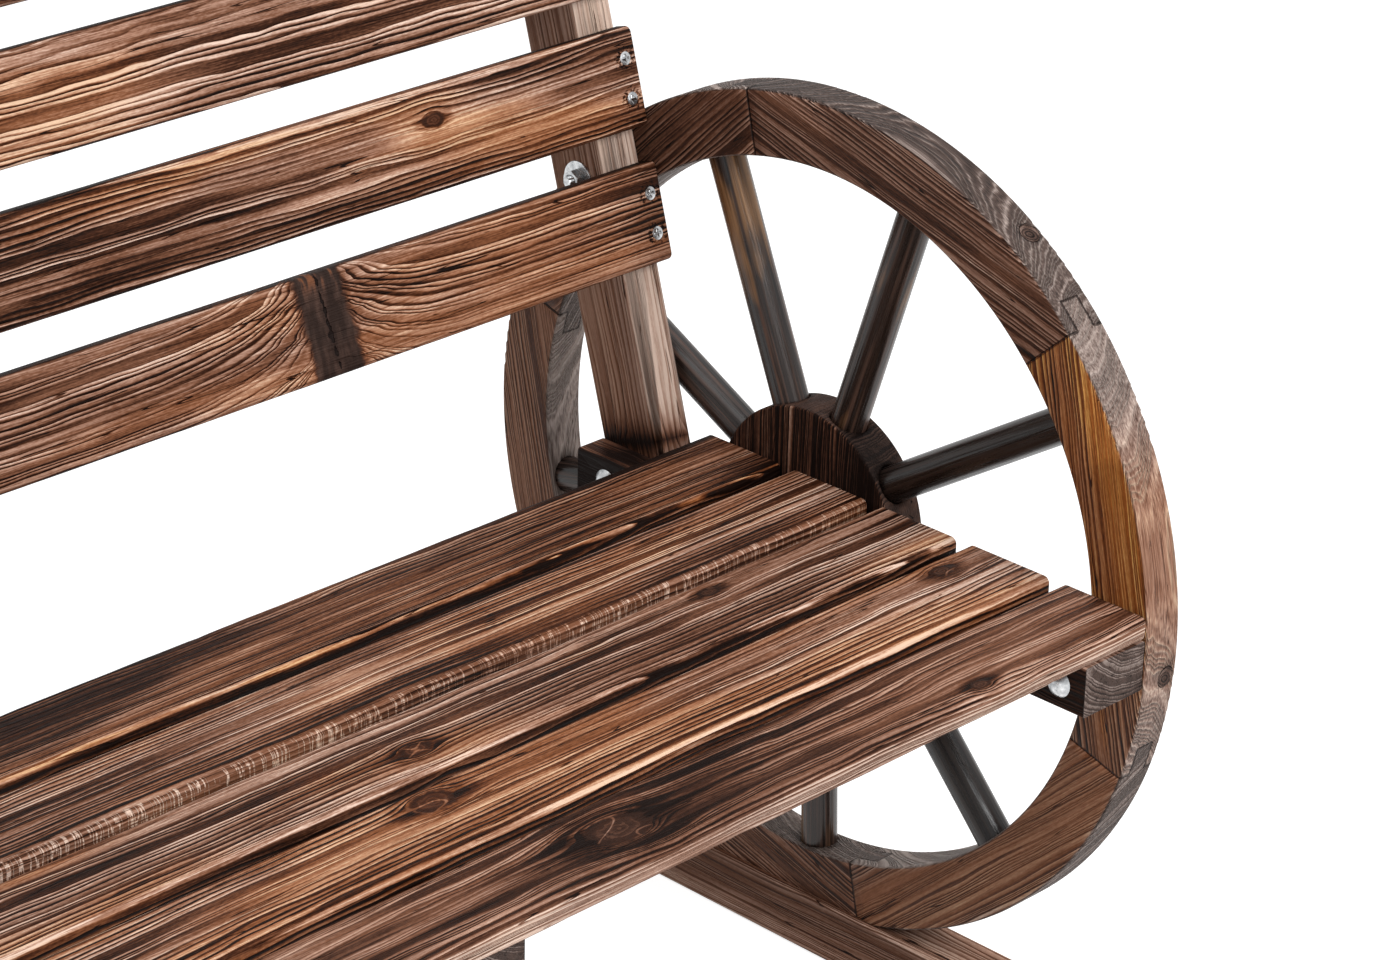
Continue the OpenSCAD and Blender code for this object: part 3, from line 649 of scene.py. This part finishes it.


# Each board also says how much shade is painted on its narrow side faces
# The boards in view, from the rear of the seat and from the foot of the back
SEAT_CUTS = {
    1: timber(pith=(0.070, -0.05), rings=0.0028, tone=(0.25, 0.7, 0.95), bleach=-0.12, side_shade=1.0, gilt=0.7),
    2: timber(pith=(-0.065, -0.03), rings=0.0032, tone=(0.35, 0.5, 0.35), bleach=0.03, sawn=1.0, side_shade=1.0),
    3: timber(pith=(0.055, -0.05), rings=0.0030, eyes=[(0.089, -0.009, 0.007), (0.36, 0.02, 0.005)],
              tone=(0.45, 0.3, 0.9), bleach=0.05, side_shade=1.0),
    4: timber(pith=(-0.055, -0.045), rings=0.0034, eyes=[(0.055, 0.017, 0.010), (0.489, 0.019, 0.006)],
              tone=(0.45, 0.1, 0.5), bleach=0.08, side_shade=1.0),
    5: timber(pith=(-0.100, -0.200), rings=0.0019, eyes=[(0.109, 0.001, 0.014), (0.39, -0.022, 0.005)],
              tone=(0.10, 0.7, 0.35), gloom=0.12, bleach=0.08, side_shade=-0.65, contrast=0.7),
}
# The back screws stand 10 mm from the posts' outer faces and 27 mm apart
BACK_SCREWS = (0.523, 0.0135)
BACK_CUTS = {
    1: timber(pith=(0.075, -0.045), rings=0.0030, spike=(0.238, 0.016, 0.036), tone=(0.35, 0.4, 0.35),
              nails=BACK_SCREWS, side_shade=1.0, contrast=0.9),
    2: timber(pith=(-0.070, -0.035), rings=0.0034, eyes=[(0.352, 0.012, 0.005)], tone=(0.50, 0.5, 0.55),
              bleach=0.09, nails=BACK_SCREWS, side_shade=1.0),
    3: timber(pith=(0.045, -0.055), rings=0.0032, tone=(0.35, 0.4, 0.60), bleach=0.12, nails=BACK_SCREWS,
              side_shade=1.0),
    4: timber(pith=(-0.055, -0.05), rings=0.0028, eyes=[(-0.21, 0.01, 0.008)], tone=(0.35, 0.5, 0.60),
              bleach=0.04, nails=BACK_SCREWS, side_shade=1.0),
    5: timber(pith=(0.075, -0.04), rings=0.0028, tone=(0.30, 0.6, 0.65), bleach=0.02, nails=BACK_SCREWS,
              side_shade=1.0),
}
FELLOE_CUTS = {
    1: timber(pith=(0.190, 0.020), rings=0.0030, tone=(0.05, 0.5, 0.20), gloom=0.14, bleach=0.09,
              contrast=0.75),
    2: timber(pith=(0.205, -0.020), rings=0.0034, tone=(1.0, 0.5, 0.30), bleach=0.20, contrast=0.9),
    3: timber(pith=(0.13, -0.05), rings=0.0028, tone=(0.45, 0.4, 0.30), gloom=0.08, bleach=0.11,
              contrast=0.7),
    4: timber(pith=(0.20, 0.03), rings=0.0028, tone=(0.10, 0.5, 0.30), gloom=0.10, bleach=0.09,
              contrast=0.7),
    5: timber(pith=(0.17, -0.03), rings=0.0030, tone=(0.20, 0.4, 0.30), gloom=0.06, bleach=0.09,
              contrast=0.7),
    6: timber(pith=(0.18, 0.04), rings=0.0028, tone=(0.15, 0.5, 0.25), gloom=0.14, bleach=0.09,
              contrast=0.75),
}
# The rails are darker in a strip beside the posts, 190 mm behind their middle, and the posts where they rise
# from the seat, 252 mm below their middle
RAIL_CUT = timber(pith=(0.03, 0.06), rings=0.0026, spike=(0.190, 0.020, 0.0), tone=(0.1, 0.6, 0.4),
                  gloom=0.26, bleach=0.36, side_shade=1.3, contrast=0.5)
POST_CUT = timber(pith=(0.05, -0.06), rings=0.0030, spike=(-0.252, 0.004, 0.0), tone=(0.20, 0.2, 0.5),
                  gloom=0.20, bleach=0.62, side_shade=0.78, contrast=0.36)
FOOT_CUT = timber(pith=(0.05, 0.08), rings=0.0024, tone=(0.1, 0.5, 0.35), gloom=0.14, bleach=0.23,
                  contrast=0.5)
HUB_CUT = timber(pith=(0.16, 0.02), rings=0.0026, tone=(0.35, 0.8, 0.1), gloom=0.38, bleach=-0.02)
PLUG_CUT = timber(pith=(0.0015, -0.001), rings=0.0021, contrast=0.7)


class BENCH_OT_seat_slats(bpy.types.Operator):
    """The five boards of the seat"""
    bl_idname = "bench.seat_slats"
    bl_label = "Seat slats"

    def execute(self, context):
        for k in range(1, SEAT_SLATS + 1):
            node = f"seat_slat_{k}"
            centre, size = between(*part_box(node))
            bm = slat_mesh(*size, number=k)
            bmesh.ops.translate(bm, verts=bm.verts, vec=centre)
            piece = finish_piece(f"brushed_{node}", bm, node)
            half = (size.y / 2, size.z / 2, size.x / 2)
            lay_grain(piece.data, (ACROSS, DEEP, UP), centre, half, SEAT_CUTS[k], k)
        return {"FINISHED"}


class BENCH_OT_back_slats(bpy.types.Operator):
    """The boards of the backrest, which lean with the posts"""
    bl_idname = "bench.back_slats"
    bl_label = "Back slats"

    def execute(self, context):
        seat_size = between(*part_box("seat_slat_1"))[1]
        axes = (ACROSS, UP_THE_BACK, OUT_OF_THE_BACK)
        turn = Matrix(axes).transposed().to_4x4()
        for k in range(1, BACK_SLATS + 1):
            node = f"back_slat_{k}"
            centre, size = between(*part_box(node))
            bm = slat_mesh(size.x, seat_size.y, seat_size.z, number=10 + k)
            bmesh.ops.transform(bm, verts=bm.verts, matrix=Matrix.Translation(centre) @ turn)
            piece = finish_piece(f"brushed_{node}", bm, node)
            half = (seat_size.y / 2, seat_size.z / 2, size.x / 2)
            lay_grain(piece.data, axes, centre, half, BACK_CUTS[k], 10 + k)
        return {"FINISHED"}


class BENCH_OT_felloes(bpy.types.Operator):
    """The six felloes of each rim, their grain along the chord"""
    bl_idname = "bench.felloes"
    bl_label = "Felloes"

    def execute(self, context):
        for side, s in SIDES.items():
            centre = Vector((s * wheel_centre.x, wheel_centre.y, wheel_centre.z))
            for k in range(1, FELLOES + 1):
                node = f"felloe_{side}_{k}"
                bm = solid_copy(node)
                outer = max((v.co - centre).yz.length for v in bm.verts)
                inner = min((v.co - centre).yz.length for v in bm.verts)
                thick = max(abs(v.co.x - centre.x) for v in bm.verts)
                out, chord = round_the_axle(FIRST_JOINT + (k - 0.5) * 360 / FELLOES)
                # Only the right wheel is known to have a felloe that the flame spared
                amber = side == "right" and k == 2
                piece = finish_piece(f"brushed_{node}", bm, node, "carbonised_fir_rim", smooth=30)
                cut = dict(FELLOE_CUTS[k if amber or k != 2 else 5])
                # The left rim is a little paler: painted light, as its faces lie more in shade
                if side == "left":
                    sawn, gloom, bleach = cut["marks"]
                    cut["marks"] = (sawn, gloom, bleach + 0.12)
                lay_grain(piece.data, (chord, out, ACROSS * s), centre, (outer, thick, inner), cut,
                          20 + k + (10 if s < 0 else 0))
        return {"FINISHED"}


class BENCH_OT_hubs(bpy.types.Operator):
    """The hub of each wheel, glued up from upright boards"""
    bl_idname = "bench.hubs"
    bl_label = "Hubs"

    def execute(self, context):
        for side, s in SIDES.items():
            node = f"hub_{side}"
            centre, size = between(*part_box(node))
            bm = solid_copy(node)
            piece = finish_piece(f"glued_{node}", bm, node, smooth=30)
            # A disc has no long edges to wear, so its width and length are out of reach
            lay_grain(piece.data, (UP, DEEP, ACROSS * -s), centre, (1.0, size.x / 2, 1.0), HUB_CUT, 50 + s)
            # The turned edge is greyer than the planed faces, which is partly a painted sheen, and its bands
            # hardly show
            marks, look = (piece.data.attributes[word].data for word in ("marks", "look"))
            for face in piece.data.polygons:
                if abs(face.normal.x) < 0.5:
                    marks[face.index].vector = (0, 0.80, 0.22)
                    look[face.index].vector = (0.35, 0, 0)
        return {"FINISHED"}


class BENCH_OT_spokes(bpy.types.Operator):
    """The varnished dowels between hub and rim"""
    bl_idname = "bench.spokes"
    bl_label = "Spokes"

    def execute(self, context):
        for side, s in SIDES.items():
            for k in range(1, SPOKES + 1):
                node = f"spoke_{side}_{k}"
                out, aside = round_the_axle(FIRST_JOINT + 30 + (k - 1) * 360 / SPOKES)
                centre, size = between(*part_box(node))
                radius = size.x / 2
                # The dowel's length from its slanting box, measured the way it points most
                most, least = (1, 2) if abs(out.y) > abs(out.z) else (2, 1)
                length = (size[most] - 2 * radius * abs(out[least])) / abs(out[most])
                bm = bmesh.new()
                bmesh.ops.create_cone(bm, cap_ends=True, segments=48, radius1=radius, radius2=radius,
                                      depth=length)
                bmesh.ops.subdivide_edges(bm, edges=edges_along(bm, 2, length / 2), cuts=40,
                                          use_grid_fill=True)
                # Up to 2 per cent thinner in places, as turned wood is
                for v in bm.verts:
                    lump = noise.noise(Vector((v.co.x * 40, v.co.y * 40, v.co.z * 12 + k * 3 + s)))
                    v.co.xy *= 1 - 0.018 * (0.5 + 0.5 * lump)
                turn = Matrix((aside, ACROSS, out)).transposed()
                bmesh.ops.transform(bm, verts=bm.verts, matrix=Matrix.Translation(centre) @ turn.to_4x4())
                if turn.determinant() < 0:
                    bmesh.ops.reverse_faces(bm, faces=bm.faces)
                piece = finish_piece(f"varnished_{node}", bm, node, "varnished_dowel")
                # The second and fourth are darker, and the last is rubbed
                cut = timber(contrast=0.74 if k in (2, 4) else 1.0, gilt=1.0 if k == SPOKES else 0.0)
                lay_grain(piece.data, (out, aside, ACROSS), centre, (radius, radius, 1.0), cut,
                          60 + k + (10 if s < 0 else 0))
        return {"FINISHED"}


class BENCH_OT_frame(bpy.types.Operator):
    """The seat rails, back posts, feet and middle batten"""
    bl_idname = "bench.frame"
    bl_label = "Rails, posts, feet and batten"

    def execute(self, context):
        along_depth = (DEEP, ACROSS, UP)
        pairs = (("seat_rail", along_depth, RAIL_CUT), ("foot", along_depth, FOOT_CUT),
                 ("back_post", (UP_THE_BACK, ACROSS, OUT_OF_THE_BACK), POST_CUT))
        for n, (word, axes, cut) in enumerate(pairs):
            for side, s in SIDES.items():
                self.dress(f"{word}_{side}", axes, cut, 80 + 2 * n + (s > 0))
        self.dress("seat_batten", along_depth, RAIL_CUT, 90)
        return {"FINISHED"}

    def dress(self, node, axes, cut, number):
        """Gives a copy of one CAD node its timber coordinates and finish."""
        bm = solid_copy(node)
        places = [Vector([v.co.dot(axis) for axis in axes]) for v in bm.verts]
        low = Vector([min(p[i] for p in places) for i in range(3)])
        high = Vector([max(p[i] for p in places) for i in range(3)])
        centre = Matrix(axes).inverted() @ ((low + high) / 2)
        half = (high - low) / 2
        piece = finish_piece(f"brushed_{node}", bm, node, smooth=30)
        lay_grain(piece.data, axes, centre, (half.y, half.z, half.x), cut, number)


# A face of a plug is in the glue line if its middle is further than this from the plug's axis
GLUE_LINE_R = 0.0068


class BENCH_OT_rim_plugs(bpy.types.Operator):
    """The dowel plugs that pin the felloes' tongues, cut flush with the rim"""
    bl_idname = "bench.rim_plugs"
    bl_label = "Rim plugs"

    def execute(self, context):
        bm = bmesh.new()
        # Each plug's end at the rim's edge and the way it points
        ends = []
        for points in loose_parts("rim_plugs"):
            middle = sum(points, Vector()) / len(points)
            side = 1 if middle.x > 0 else -1
            centre = Vector((side * wheel_centre.x, wheel_centre.y, wheel_centre.z))
            out = Vector((0, middle.y - centre.y, middle.z - centre.z)).normalized()
            low, high, foot, _, radius = lie_along(points, out)
            tall = high - low
            ease = radius * 0.08
            part = turned([(0, 0), (radius, 0), (radius, tall - ease), (radius - ease, tall),
                           (radius * 0.90, tall), (0, tall)], steps=32)
            join(bm, part, stand(foot, out, low, 1))
            ends.append((foot + out * high, out))
        mesh = finish_piece("brushed_rim_plugs", bm, "rim_plugs", smooth=30).data
        lay_grain(mesh, (ACROSS, DEEP, UP), Vector(), (1.0, 1.0, 1.0), PLUG_CUT, 91)
        for v in mesh.vertices:
            top, out = min(ends, key=lambda end: (end[0] - v.co).length)
            offset = v.co - top
            place = (offset.dot(out), offset.x, offset.dot(out.cross(ACROSS)))
            mesh.attributes["grain"].data[v.index].vector = place
        # A plug is grey, and the glue line round it is dark
        for face in mesh.polygons:
            top, out = min(ends, key=lambda end: (end[0] - face.center).length)
            offset = face.center - top
            from_axis = (offset - out * offset.dot(out)).length
            bleach = -0.4 if from_axis > GLUE_LINE_R else 0.30
            mesh.attributes["marks"].data[face.index].vector = (0, 0.95, bleach)
        return {"FINISHED"}


def loose_parts(node):
    """The points of each separate solid in a CAD node."""
    bm = solid_copy(node)
    waiting = set(bm.verts)
    parts = []
    # In the order of the mesh and not of the set, so that every run gives the same result
    for first in bm.verts:
        if first not in waiting:
            continue
        waiting.remove(first)
        part, reached = [], [first]
        while reached:
            v = reached.pop()
            part.append(v.co.copy())
            for edge in v.link_edges:
                other = edge.other_vert(v)
                if other in waiting:
                    waiting.remove(other)
                    reached.append(other)
        parts.append(part)
    bm.free()
    return parts


def lie_along(points, axis):
    """A solid's ends along an axis, the middle of its section, and how wide it is at both ends."""
    along = [p.dot(axis) for p in points]
    low, high = min(along), max(along)
    aside = [p - p.dot(axis) * axis for p in points]
    middle = Vector([(min(p[i] for p in aside) + max(p[i] for p in aside)) / 2 for i in range(3)])
    reach = [(a, (p - middle).length) for a, p in zip(along, aside)]
    rest = (high - low) * 0.02
    wide_low = max(r for a, r in reach if a < low + rest)
    wide_high = max(r for a, r in reach if a > high - rest)
    return low, high, middle, wide_low, wide_high


def turned(profile, steps=40):
    """A turned solid about z from its profile as (radius, height) pairs, closed at both poles."""
    bm = bmesh.new()
    points = [bm.verts.new((r, 0, z)) for r, z in profile]
    edges = [bm.edges.new(pair) for pair in zip(points, points[1:])]
    bmesh.ops.spin(bm, geom=points + edges, cent=(0, 0, 0), axis=(0, 0, 1), angle=2 * pi, steps=steps,
                   use_merge=True)
    bmesh.ops.remove_doubles(bm, verts=bm.verts, dist=1e-6)
    bmesh.ops.recalc_face_normals(bm, faces=bm.faces)
    return bm


def join(target, part, matrix):
    """Adds a turned or pressed part to a piece, at its place."""
    bmesh.ops.transform(part, verts=part.verts, matrix=matrix)
    mesh = bpy.data.meshes.new("part")
    part.to_mesh(mesh)
    part.free()
    target.from_mesh(mesh)
    bpy.data.meshes.remove(mesh)


def stand(middle, axis, start, forward):
    """The matrix that stands a part made along z on an axis, its foot at start and its top forward."""
    turn = (axis * forward).to_track_quat("Z", "Y").to_matrix().to_4x4()
    return Matrix.Translation(middle + axis * start) @ turn


# M8 in metres
BOLT_R = 0.004
HEAD_R = 0.0095
HEAD_H = 0.0045
THREAD_PITCH = 0.00125
THREAD_DEPTH = 0.00065


def carriage_bolt(length):
    """A bolt with a low domed head at z = 0 and a cut thread over its last 22 mm."""
    dome = (HEAD_R ** 2 + HEAD_H ** 2) / (2 * HEAD_H)
    profile = [(0, 0)]
    for i in range(1, 9):
        z = HEAD_H * (i / 8) ** 1.6 * 0.86
        profile.append(((dome ** 2 - (dome - z) ** 2) ** 0.5, z))
    profile += [(HEAD_R, HEAD_H * 0.97), (HEAD_R * 0.97, HEAD_H), (BOLT_R, HEAD_H)]
    turns = round(0.022 / THREAD_PITCH)
    for i in range(turns):
        z = length - 0.0008 - (turns - i) * THREAD_PITCH
        profile += [(BOLT_R - THREAD_DEPTH, z + THREAD_PITCH * 0.1), (BOLT_R, z + THREAD_PITCH * 0.5)]
    profile += [(BOLT_R - THREAD_DEPTH, length - 0.0008), (BOLT_R - 1.3 * THREAD_DEPTH, length), (0, length)]
    return turned(profile, steps=32)


def washer(thick, radius):
    """A stamped washer, its upper edge rounded by the die."""
    hole = BOLT_R * 1.06
    ease = thick * 0.3
    profile = [(hole, ease), (hole + ease, 0), (radius - ease * 0.4, 0), (radius, ease * 0.4),
               (radius, thick - ease), (radius - ease * 0.3, thick - ease * 0.3), (radius - ease, thick),
               (hole + ease, thick), (hole, thick - ease), (hole, ease)]
    return turned(profile, steps=56)


def grow_ring(bm, rim):
    """Extrudes a ring of edges where it is, and returns the new ring and its points."""
    grown = bmesh.ops.extrude_edge_only(bm, edges=rim)["geom"]
    rim = [g for g in grown if isinstance(g, bmesh.types.BMEdge) and g.is_boundary]
    return rim, list({v for e in rim for v in e.verts})


def hex_nut(thick, flats):
    """A hex nut whose corners are turned off at 30 degrees, with a countersunk bore."""
    bm = bmesh.new()
    bmesh.ops.create_circle(bm, segments=48, radius=BOLT_R)
    # The radius and height of each ring of points, with no radius where it follows the six flats
    rings = [(BOLT_R + 0.0008, -thick / 2), (flats * 0.475, -thick / 2), (None, -thick / 2),
             (None, thick / 2), (flats * 0.475, thick / 2), (BOLT_R + 0.0008, thick / 2),
             (BOLT_R, thick / 2 - 0.0008)]
    bmesh.ops.translate(bm, verts=bm.verts, vec=(0, 0, -thick / 2 + 0.0008))
    rim = bm.edges[:]
    for r, z in rings:
        rim, ends = grow_ring(bm, rim)
        for v in ends:
            angle = atan2(v.co.y, v.co.x)
            corner = (angle + pi / 6) % (pi / 3) - pi / 6
            reach = flats / 2 / cos(corner) if r is None else r
            # 0.577 is the tangent of 30 degrees
            drop = (reach - flats * 0.475) * 0.577 if r is None else 0
            v.co = (reach * cos(angle), reach * sin(angle), z - drop * (1 if z > 0 else -1))
    bmesh.ops.bridge_loops(bm, edges=[e for e in bm.edges if e.is_boundary])
    bmesh.ops.recalc_face_normals(bm, faces=bm.faces)
    return bm


def wood_screw(length, head_r, shank_r):
    """A countersunk screw, its head at z = 0 with a cross recess, its point at the given length."""
    bm = bmesh.new()
    bmesh.ops.create_grid(bm, x_segments=9, y_segments=9, size=1)
    cross = []
    for f in bm.faces:
        near, far = sorted(abs(c) for c in f.calc_center_median().xy)
        if near < 0.05 and far < 0.5:
            cross.append(f)
    pressed = bmesh.ops.extrude_face_region(bm, geom=cross)["geom"]
    floor = [g for g in pressed if isinstance(g, bmesh.types.BMVert)]
    bmesh.ops.scale(bm, verts=floor, vec=(0.72, 0.72, 1))
    bmesh.ops.translate(bm, verts=floor, vec=(0, 0, head_r * 0.38))
    for v in bm.verts:
        x, y = v.co.xy
        v.co.xy = (head_r * x * (1 - y * y / 2) ** 0.5, head_r * y * (1 - x * x / 2) ** 0.5)
        v.co.z -= head_r * 0.13 * (1 - (v.co.xy.length / head_r) ** 2)
    rim = [e for e in bm.edges if e.is_boundary]
    # The head's edge and its countersunk side, the shank, and the point
    point = 0.007
    for scale, step in ((1.0, head_r * 0.09), (shank_r / head_r, head_r * 0.55),
                        (1.0, length - head_r * 0.64 - point), (0.02, point)):
        rim, ends = grow_ring(bm, rim)
        bmesh.ops.scale(bm, verts=ends, vec=(scale, scale, 1))
        bmesh.ops.translate(bm, verts=ends, vec=(0, 0, step))
    bmesh.ops.contextual_create(bm, geom=rim)
    bmesh.ops.recalc_face_normals(bm, faces=bm.faces)
    return bm


class BENCH_OT_hardware(bpy.types.Operator):
    """The zinc-plated bolts, washers, nuts and screws"""
    bl_idname = "bench.hardware"
    bl_label = "Bolts and screws"

    def execute(self, context):
        for node in ("rail_bolts", "post_bolts", "lap_bolts"):
            self.fasten(node, ACROSS, lambda length, *radii: carriage_bolt(length))
        self.fasten("washers", ACROSS, lambda thick, wide, _: washer(thick, wide))
        self.fasten("nuts", ACROSS, lambda thick, wide, _: hex_nut(thick, wide * cos(pi / 6) * 2))
        for node, axis in (("seat_screws", UP), ("foot_screws", UP), ("back_screws", OUT_OF_THE_BACK)):
            self.fasten(node, axis, wood_screw)
        return {"FINISHED"}

    def fasten(self, node, axis, make):
        """Makes one piece of all the fasteners in a node, each as long as its solid and on its axis."""
        bm = bmesh.new()
        for points in loose_parts(node):
            low, high, middle, wide_low, wide_high = lie_along(points, axis)
            part = make(high - low, max(wide_low, wide_high), min(wide_low, wide_high))
            # The head is at the wider end, and a nut is made about its middle
            start, forward = (low, 1) if wide_low >= wide_high else (high, -1)
            if node == "nuts":
                start = (low + high) / 2
            join(bm, part, stand(middle, axis, start, forward))
        finish_piece(f"zinc_{node}", bm, node, "zinc_plate", smooth=40)


class BENCH_OT_stage(bpy.types.Operator):
    """The floor, the lamps and the camera"""
    bl_idname = "bench.stage"
    bl_label = "Stage"

    def execute(self, context):
        scene = context.scene
        settings = scene.bench_stage
        self.floor()
        self.world(scene, settings)
        self.lamp("front_lamp", (0.3, -3.2, 2.6), 1.8, settings.key)
        self.lamp("top_lamp", (0.2, 0.4, 3.2), 3.0, settings.top)
        camera = bpy.data.cameras.new("camera")
        camera.sensor_fit = "HORIZONTAL"
        camera.sensor_width = 36
        camera.lens = settings.lens
        camera.clip_end = 50
        holder = link_object("camera", camera)
        # Solved from the wheel's circle, its joints and the seat slats in the photograph
        holder.location = (-1.38368, wheel_centre.y - 1.73447, wheel_centre.z + 1.21462)
        holder.rotation_euler = [radians(a) for a in (65.272, -1.484, -45.643)]
        scene.camera = holder
        scene.view_settings.view_transform = "Standard"
        return {"FINISHED"}

    def floor(self):
        """White paper: it shows white to the camera and still takes the bench's shadow."""
        bm = bmesh.new()
        bmesh.ops.create_grid(bm, x_segments=1, y_segments=1, size=8)
        mesh = bpy.data.meshes.new("floor")
        bm.to_mesh(mesh)
        bm.free()
        floor = link_object("floor", mesh)
        floor.location.z = -0.0003
        paper = bpy.data.materials.new("white_paper")
        node = empty_tree(paper)
        path = node("LightPath")
        seen = node("Math.MAXIMUM", path.outputs["Is Camera Ray"], path.outputs["Is Glossy Ray"])
        # Lit up to white for the camera and for gloss, and a plain paper for the light it throws back
        lit = node("AddShader", node("BsdfDiffuse", (0.5, 0.5, 0.5, 1)), node("Emission", (1, 1, 1, 1), 0.78))
        plain = node("BsdfDiffuse", (0.6, 0.6, 0.6, 1))
        node("OutputMaterial", node("MixShader", seen, plain, lit))
        mesh.materials.append(paper)

    def world(self, scene, settings):
        """Even room light that the camera, gloss and glass see as white."""
        world = bpy.data.worlds.new("studio")
        node = empty_tree(world)
        path = node("LightPath")
        seen = node("Math.MAXIMUM", path.outputs["Is Camera Ray"], path.outputs["Is Glossy Ray"])
        seen = node("Math.MAXIMUM", seen, path.outputs["Is Transmission Ray"])
        strength = node("MapRange", seen, 0.0, 1.0, settings.ambient, 1.0)
        node("OutputWorld", node("Background", (1, 1, 1, 1), strength))
        scene.world = world

    def lamp(self, name, place, size, power):
        """A square soft lamp aimed at the middle of the bench."""
        light = bpy.data.lights.new(name, "AREA")
        light.shape = "SQUARE"
        light.size = size
        light.energy = power
        holder = link_object(name, light)
        holder.location = place
        aim = Vector((0.2, 0, 0.4)) - holder.location
        holder.rotation_euler = aim.to_track_quat("-Z", "Y").to_euler()


OPERATORS = (BENCH_OT_seat_slats, BENCH_OT_back_slats, BENCH_OT_felloes, BENCH_OT_hubs, BENCH_OT_spokes,
             BENCH_OT_frame, BENCH_OT_rim_plugs, BENCH_OT_hardware, BENCH_OT_stage)


class BENCH_PT_panel(bpy.types.Panel):
    """The settings, and a button for each group of pieces"""
    bl_label = "Wagon wheel bench"
    bl_idname = "BENCH_PT_panel"
    bl_space_type = "VIEW_3D"
    bl_region_type = "UI"
    bl_category = "Bench"

    def draw(self, context):
        for settings in (context.scene.bench_timber, context.scene.bench_stage):
            for word in settings.__annotations__:
                self.layout.prop(settings, word)
        for operator in OPERATORS:
            self.layout.operator(operator.bl_idname)


CLASSES = (BenchTimber, BenchStage, *OPERATORS, BENCH_PT_panel)


def register():
    """Makes the settings, operators and panel known to Blender."""
    for cls in CLASSES:
        bpy.utils.register_class(cls)
    bpy.types.Scene.bench_timber = PointerProperty(type=BenchTimber)
    bpy.types.Scene.bench_stage = PointerProperty(type=BenchStage)


def unregister():
    """Takes them away again."""
    del bpy.types.Scene.bench_stage
    del bpy.types.Scene.bench_timber
    for cls in reversed(CLASSES):
        bpy.utils.unregister_class(cls)


def main():
    """Builds every group of pieces and the stage."""
    register()
    bpy.ops.bench.seat_slats()
    bpy.ops.bench.back_slats()
    bpy.ops.bench.felloes()
    bpy.ops.bench.hubs()
    bpy.ops.bench.spokes()
    bpy.ops.bench.frame()
    bpy.ops.bench.rim_plugs()
    bpy.ops.bench.hardware()
    bpy.ops.bench.stage()


if __name__ == "__main__":
    main()
